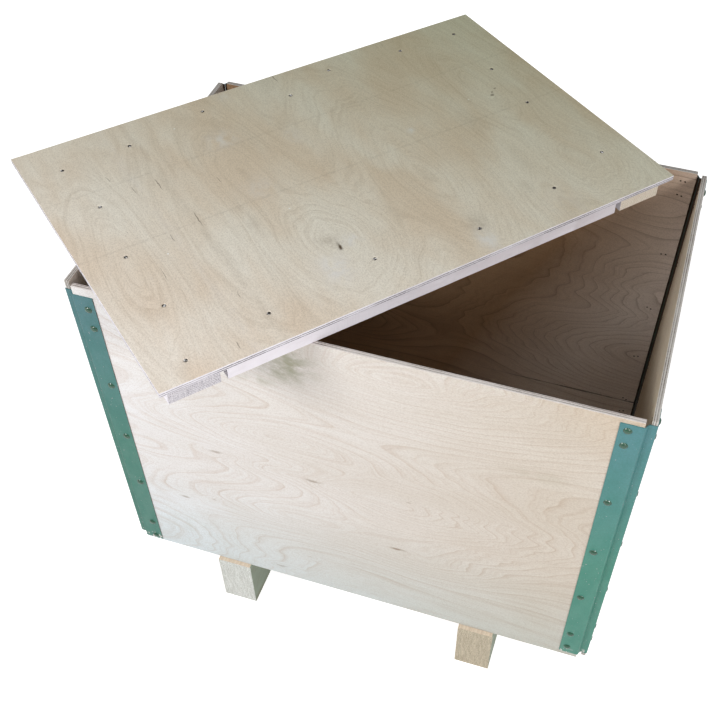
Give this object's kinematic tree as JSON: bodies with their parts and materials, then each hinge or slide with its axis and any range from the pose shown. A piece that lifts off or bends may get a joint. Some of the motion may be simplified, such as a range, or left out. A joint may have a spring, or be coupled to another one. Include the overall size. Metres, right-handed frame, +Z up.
{
  "type": "folding plywood box",
  "caption": "Knock-down plywood box: four panels riveted to creased steel corner strips fold flat off a two-runner base, with a loose battened lid.",
  "frame": {"origin": "on the ground under the middle of the sleeve, midway between the two runners", "axes": "+Z up; +X along the front panel to the right, seen from in front; +Y from the front panel to the back panel"},
  "size_m": [0.8533, 0.8344, 0.6595],
  "materials": {
    "plywood": "bare rotary-cut birch or poplar plywood, pale, unsanded edges",
    "sawn_wood": "rough sawn softwood",
    "strip_green": "satin green coating on sheet steel",
    "rivet_green": "glossy darker green enamel",
    "nail_steel": "dull bright nail heads"
  },
  "bodies": {
    "base": {"runner_left": "sawn_wood", "runner_right": "sawn_wood", "floor_panel": "plywood", "floor_nails": "nail_steel"},
    "sleeve_front": {"front_panel": "plywood", "strip_front_right_front": "strip_green", "rivets_front_right_front": "rivet_green", "strip_front_left_front": "strip_green", "rivets_front_left_front": "rivet_green"},
    "sleeve_right": {"right_panel": "plywood", "strip_front_right_side": "strip_green", "rivets_front_right_side": "rivet_green", "strip_back_right_side": "strip_green", "rivets_back_right_side": "rivet_green"},
    "sleeve_back": {"back_panel": "plywood", "strip_back_right_back": "strip_green", "rivets_back_right_back": "rivet_green", "strip_back_left_back": "strip_green", "rivets_back_left_back": "rivet_green"},
    "sleeve_left": {"left_panel": "plywood", "strip_front_left_side": "strip_green", "rivets_front_left_side": "rivet_green", "strip_back_left_side": "strip_green", "rivets_back_left_side": "rivet_green"},
    "lid": {"lid_panel": "plywood", "lid_batten_left": "sawn_wood", "lid_batten_right": "sawn_wood", "lid_batten_front": "sawn_wood", "lid_batten_back": "sawn_wood", "lid_nails": "nail_steel"}
  },
  "joints": [
    {"name": "sleeve_lift", "type": "slide", "parent": "base", "child": "sleeve_front", "axis": [0, 0, 1], "range_m": [0, 0.6]},
    {"name": "fold_right", "type": "hinge", "parent": "sleeve_front", "child": "sleeve_right", "pos_m": [0.3415, -0.2228, 0.3625], "axis": [0, 0, -1], "range_deg": [0, 88]},
    {"name": "fold_left", "type": "hinge", "parent": "sleeve_front", "child": "sleeve_left", "pos_m": [-0.3415, -0.2228, 0.3625], "axis": [0, 0, -1], "range_deg": [0, 88]},
    {"name": "fold_back", "type": "hinge", "parent": "sleeve_right", "child": "sleeve_back", "pos_m": [0.3415, 0.2228, 0.3625], "axis": [0, 0, 1], "range_deg": [0, 88]},
    {"name": "lid_lift", "type": "slide", "parent": "sleeve_front", "child": "lid", "axis": [0, 0, 1], "range_m": [0, 0.3]}
  ],
  "couplings": [
    {"joint": "fold_right", "follows": "sleeve_lift", "rad_per_m": 2.5598},
    {"joint": "fold_left", "follows": "sleeve_lift", "rad_per_m": 2.5598},
    {"joint": "fold_back", "follows": "sleeve_lift", "rad_per_m": 2.5598}
  ]
}
